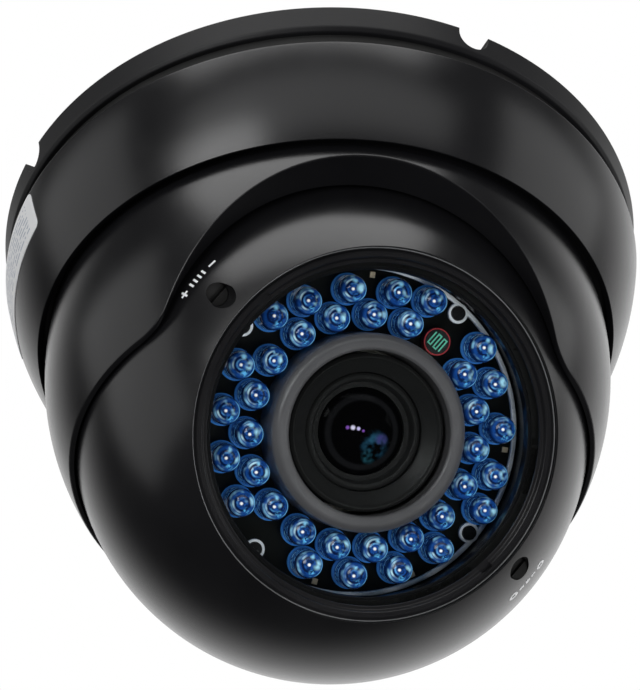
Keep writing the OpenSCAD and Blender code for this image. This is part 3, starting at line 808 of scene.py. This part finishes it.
# the arch and its right foot, as seen from the front
edge = []
for k in range(NARCH + 1):
    t = -touch + 2 * touch * k / NARCH
    edge.append((ARCH_R * math.sin(t), ARCH_DROP + ARCH_R * math.cos(t)))
for k in range(1, NFOOT + 1):
    a = touch + math.pi - touch * k / NFOOT
    edge.append((foot_x + FOOT_R * math.sin(a), foot_z + FOOT_R * math.cos(a)))
left = [(-x, z) for x, z in reversed(edge[NARCH + 1:])]

# where the cut edge meets the outer and the inner ball, then the skirt round the back
columns = []
for x, z in left + edge:
    outer_y = math.sqrt(HOOD_R ** 2 - (z - HOOD_RISE) ** 2 - x ** 2)
    inner_y = math.sqrt(HOOD_IN ** 2 - z ** 2 - x ** 2)
    columns.append((math.atan2(x, outer_y), math.atan2(x, inner_y), z))
a_out, a_in, z = columns[-1]
for k in range(1, NSKIRT):
    t = k / NSKIRT
    columns.append((a_out + (2 * math.pi - 2 * a_out) * t, a_in + (2 * math.pi - 2 * a_in) * t,
                    SKIRT))

COLLAR_TOP = 17.5
COLLAR_OUT = 52.3
COLLAR_FOOT = 20.6
BUNCHING = 1.35
COLLAR = ((48.9, COLLAR_TOP), (48.9, 23.4), (49.1, 23.6), (COLLAR_OUT - 0.2, 23.6),
          (COLLAR_OUT, 23.4), (COLLAR_OUT, COLLAR_FOOT + 0.2), (COLLAR_OUT - 0.2, COLLAR_FOOT))
POCKET_R = 47.8
POCKET_START = 62  # degrees from the front, on either side
POCKET_END = 118
POCKET_LOW = -4
BORE_R = 46.1
OUT_ROWS = 44
IN_ROWS = 30
EDGE_STEPS = 5
EASE_ROWS = 3
OUTER_ROUND = 0.42
INNER_ROUND = 0.16


def hood_inner_r(azimuth, z):
    """The inner wall: on the ball, straight above it, with a pocket for each yoke arm."""
    side = abs(math.degrees(math.atan2(math.sin(azimuth), math.cos(azimuth))))
    if POCKET_START < side < POCKET_END and z > POCKET_LOW:
        return POCKET_R
    if z > 0:
        return min(BORE_R, slice_r(HOOD_IN, z))
    return slice_r(HOOD_IN, z)


sections = []
for azo, azi, z in columns:
    col = [round_point(azo, height, r) for r, height in COLLAR]
    # down the outer ball, bunched near the cut edge
    for k in range(OUT_ROWS):
        t = k / OUT_ROWS
        col.append(outer_point(azo, COLLAR_FOOT + (z - COLLAR_FOOT) * (1 - (1 - t) ** BUNCHING)))
    corner_o = outer_point(azo, z)
    corner_i = inner_point(azi, z)
    up_o = (outer_point(azo, z + 0.4) - corner_o).normalized()
    up_i = (inner_point(azi, z + 0.4) - corner_i).normalized()
    wall = corner_i - corner_o
    along = wall.normalized()
    e_o = min(OUTER_ROUND, wall.length * 0.4)
    e_i = min(INNER_ROUND, wall.length * 0.2)
    # keep the rows clear of the edge's round
    while col and (col[-1] - corner_o).length < e_o * 1.15:
        col.pop()
    while len(col) < len(COLLAR) + OUT_ROWS:
        col.append(col[-1].lerp(corner_o + up_o * e_o, 0.5))
    for start, corner, end in (
        (corner_o + up_o * e_o, corner_o, corner_o + along * e_o),
        (corner_i - along * e_i, corner_i, corner_i + up_i * e_i),
    ):
        for k in range(EDGE_STEPS + 1):
            col.append(bezier(start, corner, end, k / EDGE_STEPS))
    # up the inside, easing from the ball to the wall over a few rows
    inside = z + 0.2
    for k in range(1, IN_ROWS + 1):
        height = inside + (COLLAR_TOP - inside) * k / IN_ROWS
        blend = min(1, k / EASE_ROWS)
        r = slice_r(HOOD_IN, height) * (1 - blend) + hood_inner_r(azi, height) * blend
        col.append(round_point(azi, height, r))
    sections.append(col)
rows = len(sections[0])
verts = [p for col in sections for p in col]
faces = []
for i in range(len(sections)):
    n = (i + 1) % len(sections)
    for j in range(rows):
        m = (j + 1) % rows
        faces.append([i * rows + j, n * rows + j, n * rows + m, i * rows + m])
hood = new_object("hood_collar_shell", verts, faces, turned(AT_BALL, HOOD_TURN), [PAINT])
outward(hood)
crisp(hood, 50)
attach(hood, "hood")
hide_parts("hood_collar")

# ---- eyeball, front shell ----
BALL_R = 46.0
SHELL_IN = 43.2
SEAM = -2.8
WINDOW_R = 31.6
WINDOW_ROUND = 0.7
SEAT_D = 28.8
SEAT_FOOT = 26.3
INSIDE_AT_FOOT = 34.27  # the inner ball's radius at the seat's foot
FACET_TURN = 7  # keeps the lathe's facets off the holes' sides
SOCKET_LOW = 12.9
FACE_TURN = 59  # the two adjusters' turn round the lens axis, in degrees
BALL_ROWS = 110
INSIDE_ROWS = 50
ADJUSTER_PLACE = 35.2
HOLE_PROFILE = [(0, 22), (2, 22), (2, 29.1), (2.3, 30.2), (2.3, 36), (0, 36)]
PIN_R = 2.01
window_edge = math.degrees(math.atan2(math.sqrt(BALL_R ** 2 - WINDOW_R ** 2), WINDOW_R))
seam_out = math.degrees(math.atan2(SEAM, math.sqrt(BALL_R ** 2 - SEAM ** 2)))
seam_in = math.degrees(math.asin(SEAM / SHELL_IN))
inside_edge = math.degrees(math.atan2(SEAT_FOOT, INSIDE_AT_FOOT))
ball_out = arc(0, 0, BALL_R, seam_out, window_edge, BALL_ROWS)
seat = [(WINDOW_R, SEAT_D), (27.7, SEAT_D), (27.7, SEAT_FOOT), (28.9, SEAT_FOOT),
        (28.9, SOCKET_LOW), (30.9, SOCKET_LOW), (30.9, SEAT_FOOT)]
ball_in = arc(0, 0, SHELL_IN, inside_edge, seam_in, INSIDE_ROWS)
radii = [0.12] + [0] * (BALL_ROWS - 1) + [WINDOW_ROUND] + [0.1, 0.12, 0.1, 0.1, 0.1, 0.2, 0.1]
radii += [0] * len(ball_in)
ball = lathe("ball_front", fillet(ball_out + seat + ball_in, radii), turned(AT_LENS, FACET_TURN), 288,
             [PAINT])
cutters = []
# the two adjuster holes, each with a small countersink at its mouth
for turn_by in (FACE_TURN, FACE_TURN + 180):
    at = turned(AT_LENS, turn_by) @ Matrix.Translation((0, ADJUSTER_PLACE, 0))
    cutters.append(lathe("cutter", HOLE_PROFILE, at, 64, close=False))
# the side pins' holes
for turn_by in (0, 180):
    cutters.append(rod(PIN_R, 40, 50, turned(AT_BALL, turn_by) @ ON_SIDE, 48))
cut(ball, cutters)
ball_normals(ball, AT_BALL.translation, BALL_R * MM)
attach(ball, "eyeball")
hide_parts("ball_front_shell")

# ---- window ring, with two key slots and a painted highlight strip on its outer edge ----
RING_OUT = 31.5
RING_IN = 28.9
RING_PROFILE = [(RING_IN, 31.02), (RING_OUT, 31.02), (RING_OUT, 31.9), (30.75, 32.4),
                (29.9, 32.4), (29.5, 31.6), (RING_IN, 31.6)]
RIM_PROFILE = [(RING_OUT - 0.22, 31.7), (RING_OUT, 31.7), (RING_OUT, 32.2),
               (RING_OUT - 0.22, 32.2)]
ring = lathe("window_trim_ring", fillet(RING_PROFILE, [0.05, 0.05, 0.12, 0.12, 0.12, 0.1, 0.12]),
             AT_LENS, 256, [RING_PAINT])
slots = [block(((-1.1, 28, 31.3), (1.1, 30.4, 34)), turned(AT_LENS, turn_by))
         for turn_by in (FACE_TURN - 8, FACE_TURN + 172)]
cut(ring, slots)
# a lighter strip round the ring's outer edge: a painted highlight
bright = lathe("rim", fillet(RIM_PROFILE, [0.02, 0.02, 0.06, 0.06]), AT_LENS, 256, [RIM_HIGHLIGHT])
ring = join("window_trim_ring", [ring, bright])
crisp(ring)
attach(ring, "eyeball")
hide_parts("window_ring")

# ---- window glass ----
PANE_R = 31.2
PANE_PROFILE = [(0, 29.2), (PANE_R, 29.2), (PANE_R, 30.98), (0, 30.98)]
pane = lathe("window_pane", fillet(PANE_PROFILE, [0, 0.15, 0.15, 0]), AT_LENS, 160, [PANE],
             close=False)
crisp(pane)
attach(pane, "eyeball")
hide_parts("window_glass")

# ---- lights: two rings of eighteen, with a gap for the photocell ----
BOARD = 18.6  # the board's face
CELL_TURN = FACE_TURN - 90.5
STEP = 360 / 19
INNER_PLACE = 20.0
OUTER_PLACE = 24.4
SHIFTED_PLACE = 25.3
SHIFTS = {0: 4.3, 4: -4.3, 14: 4.7, 18: -4.2}  # degrees, to make room for the screw lugs
LEFT_OUT = 9
LED_FOOT = [(0, 0.7), (1.2, 0.7), (1.2, 1.2), (2.7, 1.2), (2.8, 1.3), (2.8, 2.0), (2.7, 2.1),
            (2.5, 2.12), (LED_R, 2.2)]
LED_DOME = 5.6  # height of the dome's centre over the board
LEG_STARTS = (-1.1, 0.6)
LEG_WIDTH = 0.5


def lamp(at, roll):
    """One five-millimetre light: resin and two legs."""
    at = at @ Matrix.Translation((0, 0, BOARD))
    dome = arc(0, LED_DOME, LED_R, 0, 90, 16)[:-1] + [(0, LED_DOME + LED_R)]
    resin = lathe("resin", LED_FOOT + dome, at, 36, [RESIN], close=False)
    flat_uv(resin, at, roll)
    half = LEG_WIDTH / 2
    legs = [block(((x, -half, -0.2), (x + LEG_WIDTH, half, 0.8)), at) for x in LEG_STARTS]
    for leg in legs:
        leg.data.materials.append(STEEL)
    return [resin] + legs


inner_places = [(i * STEP, INNER_PLACE) for i in range(1, 19)]
outer_places = []
for i in range(19):
    if i != LEFT_OUT:
        shift = SHIFTS.get(i, 0)
        outer_places.append(((i + 0.5) * STEP + shift, SHIFTED_PLACE if shift else OUTER_PLACE))
for group, places, node in (
    ("inner_lights", inner_places, "inner_leds"),
    ("outer_lights", outer_places, "outer_leds"),
):
    bits = []
    for k, (angle, radius) in enumerate(places):
        at = turned(AT_LENS, CELL_TURN + angle) @ Matrix.Translation((0, radius, 0))
        # each light is rolled a little its own way
        bits += lamp(at, math.radians(CELL_TURN + angle) + 0.3 * math.sin(3.1 * k))
    made = join(group, bits)
    crisp(made, 35, weighted=False)
    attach(made, "eyeball")
    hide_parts(node)

# ---- photocell: red rim, dark face and a green comb ----
CELL_PLACE = 20.6
BAR_COUNT = 5
BAR_START = -1.4
BAR_STEP = 0.62
BAR_WIDTH = 0.24
BAR_REACH = 1.15
BAR_LOW = 2.15
BAR_HIGH = 2.3
at = turned(AT_LENS, CELL_TURN) @ Matrix.Translation((0, CELL_PLACE, BOARD))
body = lathe("cell", fillet([(0, 0), (2.4, 0), (2.4, 2.0), (2.1, 2.0), (2.1, 1.9), (0, 1.9)],
                            [0, 0.1, 0.12, 0.05, 0, 0]), at, 48, [RED_RIM], close=False)
disc = lathe("cell_face", fillet([(0, 1.85), (2.15, 1.85), (2.15, 2.2), (0, 2.2)],
                                 [0, 0, 0.15, 0]), at, 48, [CELL_DARK], close=False)
bits = [body, disc]
for k in range(BAR_COUNT):
    x = BAR_START + BAR_STEP * k
    bars = [((x, -BAR_REACH, BAR_LOW), (x + BAR_WIDTH, BAR_REACH, BAR_HIGH))]
    if k < BAR_COUNT - 1:
        # the link to the next bar, at the top and the bottom by turns
        y = BAR_REACH if k % 2 else -BAR_REACH
        bars.append(((x, y - BAR_WIDTH / 2, BAR_LOW),
                     (x + BAR_STEP + BAR_WIDTH, y + BAR_WIDTH / 2, BAR_HIGH)))
    for corners in bars:
        comb = block(corners, at)
        comb.data.materials.append(TRACE)
        bits.append(comb)
cell = join("light_sensor", bits)
crisp(cell)
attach(cell, "eyeball")
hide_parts("photocell")

# ---- the board's bright bezel and four screw lugs ----
BEZEL_PROFILE = [(27.85, BOARD), (28.7, BOARD), (28.7, 19.4), (27.85, 19.4)]
LUG_PLACE = 27
LUG_PROFILE = [(1.3, BOARD + 0.02), (1.8, BOARD + 0.02), (1.8, 19.42), (1.3, 19.42)]
bits = [lathe("bezel", fillet(BEZEL_PROFILE, [0.05, 0.05, 0.25, 0.25]), AT_LENS, 192, [SILVER])]
for k in range(4):
    at = turned(AT_LENS, FACE_TURN + 90 * k) @ Matrix.Translation((0, LUG_PLACE, 0))
    bits.append(lathe("lug", fillet(LUG_PROFILE, [0.02, 0.02, 0.2, 0.1]), at, 40, [SILVER]))
bezel = join("board_bezel", bits)
crisp(bezel)
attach(bezel, "eyeball")
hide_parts("board_ring")

# ---- lens: shroud, barrel, ring and front glass ----
SHROUD_PROFILE = [(14.1, BOARD), (17.0, BOARD), (17.0, 27.5), (15.9, 28.6), (14.5, 28.6),
                  (14.1, 28.2)]
SHROUD_FILLETS = [0.1, 0.1, 0.6, 0.5, 0.2, 0.2]
BARREL_PROFILE = [(6, -6.4), (6.95, -6.4), (6.95, -1.5), (13.5, -1.5), (13.5, 25.8), (13.0, 26.4),
                  (12.8, 26.4), (12.4, 25.9), (10.7, 24.3), (10.2, 23.8), (10.2, 17), (6, 17)]
BARREL_FILLETS = [0.1, 0.1, 0.1, 0.2, 0.2, 0.15, 0.12, 0.12, 0.12, 0.12, 0.1, 0.1]
FRONT_PROFILE = [(7.6, 20.4), (10.1, 20.4), (10.1, 23.2), (9.6, 23.7), (9, 23.7), (8.5, 22.4),
                 (8.5, 22), (7.6, 22)]
FRONT_FILLETS = [0.05, 0.05, 0.15, 0.2, 0.15, 0.1, 0.05, 0.1]
for name, points, radii, finish, node, slot in (
    ("shroud_tube", SHROUD_PROFILE, SHROUD_FILLETS, SHROUD, "lens_shroud", "shroud_plastic"),
    ("barrel_tube", BARREL_PROFILE, BARREL_FILLETS, BARREL, "lens_barrel", "lens_black"),
    ("lens_rim", FRONT_PROFILE, FRONT_FILLETS, BARREL, "lens_front_ring", "lens_black"),
):
    made = lathe(name, fillet(points, radii), AT_LENS, 192, [finish])
    crisp(made)
    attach(made, "eyeball")
    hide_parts(node)
GLASS_R = 15
GLASS_CENTRE = 8.2
glass_dome = arc(0, GLASS_CENTRE, GLASS_R, 60, 90, 24)[:-1] + [(0, GLASS_CENTRE + GLASS_R)]
glass = lathe("front_element", [(0, 17.8), (LENS_R - 0.1, 17.8), (LENS_R, 17.9)] + glass_dome,
              AT_LENS, 96, [LENS_GLASS], close=False)
flat_uv(glass, AT_LENS)
crisp(glass, 40)
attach(glass, "eyeball")
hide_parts("lens_front_glass")

# ---- marks beside the adjusters ----
MARK_LIFTS = (0.045, -0.03)  # the print's two faces over the ball
HOOP_STEPS = 28
ZOOM_POLAR = 58  # degrees from the lens axis
FOCUS_POLAR = 58.5


def on_ball(turn_by, polar, lift, outline):
    """Lays an outline on the ball, in mm round a place at a turn and a polar angle."""
    r = BALL_R + lift
    points = []
    for x, y in outline:
        a = math.radians(polar) + y / BALL_R
        t = math.radians(turn_by) + x / (BALL_R * math.sin(math.radians(polar)))
        points.append((-r * math.sin(a) * math.sin(t), r * math.sin(a) * math.cos(t),
                       r * math.cos(a)))
    return points


def printed(name, turn_by, polar, marks):
    """Thin raised marks on the ball: each is an outline, with or without a hole."""
    bits = []
    for outline, hole in marks:
        verts = []
        faces = []
        n = len(outline)
        for lift in MARK_LIFTS:
            verts += on_ball(turn_by, polar, lift, outline)
            if hole:
                verts += on_ball(turn_by, polar, lift, hole)
        if hole:
            for k in range(n):
                m = (k + 1) % n
                faces += [[k, m, n + m, n + k], [2 * n + k, 3 * n + k, 3 * n + m, 2 * n + m],
                          [k, 2 * n + k, 2 * n + m, m], [n + k, n + m, 3 * n + m, 3 * n + k]]
        else:
            faces += [list(range(n)), list(range(2 * n - 1, n - 1, -1))]
            faces += [[k, n + k, n + (k + 1) % n, (k + 1) % n] for k in range(n)]
        mark = new_object("mark", verts, faces, AT_LENS, [PRINT])
        outward(mark)
        bits.append(mark)
    made = join(name, bits)
    crisp(made, 40, weighted=False)
    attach(made, "eyeball")


def bar(x, width, height):
    """A bar's outline, on the row of marks at x."""
    w = width / 2
    h = height / 2
    return [(x - w, -h), (x + w, -h), (x + w, h), (x - w, h)]


def hoop(x, r):
    """A round outline, on the row of marks at x."""
    angles = [2 * math.pi * k / HOOP_STEPS for k in range(HOOP_STEPS)]
    return [(x + r * math.cos(a), r * math.sin(a)) for a in angles]


PLUS = [(-0.75, -0.2), (-0.2, -0.2), (-0.2, -0.75), (0.2, -0.75), (0.2, -0.2), (0.75, -0.2),
        (0.75, 0.2), (0.2, 0.2), (0.2, 0.75), (-0.2, 0.75), (-0.2, 0.2), (-0.75, 0.2)]
ZOOM_MARKS = [(bar(-3.6, 1.5, 0.4), None)]
ZOOM_MARKS += [(bar(x, 0.4, 1.2), None) for x in (-1.55, -0.55, 0.45, 1.45)]
ZOOM_MARKS += [([(x + 3.4, y) for x, y in PLUS], None)]
FOCUS_MARKS = [
    (hoop(-3.5, 1.0), hoop(-3.5, 0.45)), (bar(-1.5, 1.1, 0.6), None), (hoop(0.1, 0.6), None),
    (bar(1.7, 1.1, 0.6), None), (hoop(3.7, 1.0), hoop(3.7, 0.45)),
]
printed("zoom_marks", FACE_TURN, ZOOM_POLAR, ZOOM_MARKS)
printed("focus_marks", FACE_TURN + 180, FOCUS_POLAR, FOCUS_MARKS)

# ---- studio: white to the camera, and a soft glow behind the part for everything else ----
GLOW = (CAM_FORWARD * 0.96 - CAM_UP * 0.18 + CAM_RIGHT * 0.12).normalized()
GLOW_FROM = (0.34, 1.02)
GLOW_TO = (0.045, 1.40)
world = bpy.data.worlds.new("studio")
SCENE.world = world
world.use_nodes = True
tree = world.node_tree
tree.nodes.clear()
out = tree.nodes.new("ShaderNodeOutputWorld")
seen = tree.nodes.new("ShaderNodeBackground")
seen.inputs["Color"].default_value = (1, 1, 1, 1)
lit = tree.nodes.new("ShaderNodeBackground")
coord = tree.nodes.new("ShaderNodeTexCoord")
dot = tree.nodes.new("ShaderNodeVectorMath")
dot.operation = "DOT_PRODUCT"
dot.inputs[1].default_value = GLOW
tree.links.new(coord.outputs["Generated"], dot.inputs[0])
shade = tree.nodes.new("ShaderNodeMapRange")
shade.interpolation_type = "SMOOTHSTEP"
shade.inputs["From Min"].default_value = GLOW_FROM[0]
shade.inputs["From Max"].default_value = GLOW_FROM[1]
shade.inputs["To Min"].default_value = GLOW_TO[0]
shade.inputs["To Max"].default_value = GLOW_TO[1]
tree.links.new(dot.outputs["Value"], shade.inputs["Value"])
tree.links.new(shade.outputs["Result"], lit.inputs["Strength"])
path = tree.nodes.new("ShaderNodeLightPath")
mix = tree.nodes.new("ShaderNodeMixShader")
tree.links.new(path.outputs["Is Camera Ray"], mix.inputs[0])
tree.links.new(lit.outputs[0], mix.inputs[1])
tree.links.new(seen.outputs[0], mix.inputs[2])
tree.links.new(mix.outputs[0], out.inputs["Surface"])

# ---- lamps: places and sizes in metres, power in watts ----
AIM = Vector((0, 0, -DROP * MM))


def softbox(name, right, up, back, size, power):
    """A soft lamp placed by the camera's own axes, aimed at the eyeball."""
    data = bpy.data.lights.new(name, "AREA")
    data.shape = "RECTANGLE"
    data.size, data.size_y = size
    data.energy = power
    obj = bpy.data.objects.new(name, data)
    SCENE.collection.objects.link(obj)
    obj.location = AIM + CAM_RIGHT * right + CAM_UP * up - CAM_FORWARD * back
    aim = (AIM - obj.location).normalized()
    obj.rotation_euler = aim.to_track_quat("-Z", "Y").to_euler()
    return obj


softbox("top", -0.10, 1.25, -0.10, (1.6, 0.8), 11)
softbox("front", 0.00, 1.00, 0.75, (2.2, 0.55), 3.8)
softbox("right", 1.25, 0.25, 0.00, (1.0, 1.1), 3.6)
softbox("left", -1.25, 0.20, 0.00, (0.9, 1.1), 2.6)
softbox("key", -0.62, 0.50, 0.85, (0.6, 0.6), 5.0)
fill = softbox("fill", 0.36, -0.28, 0.92, (0.6, 0.6), 7.0)
fill.visible_glossy = False

# ---- floor: seen in views from above, and kept out of reflections and shadows ----
FLOOR_HALF = 3  # m
FLOOR_Z = -0.9
FLOOR_WHITE = coated("floor_white", (0.78, 0.78, 0.78), (0.82, 0.82, 0.82), (0.5, 0.6), 50, 0.02)
floor_corners = [(x * FLOOR_HALF, y * FLOOR_HALF, FLOOR_Z)
                 for x, y in ((-1, -1), (1, -1), (1, 1), (-1, 1))]
floor = new_object("floor", floor_corners, [(0, 1, 2, 3)], Matrix.Identity(4), [FLOOR_WHITE])
floor.visible_glossy = False
floor.visible_diffuse = False
floor.visible_shadow = False

SCENE.view_settings.view_transform = "Standard"
SCENE.view_settings.look = "None"

# ---- last update of the scene ----
bpy.context.view_layer.update()
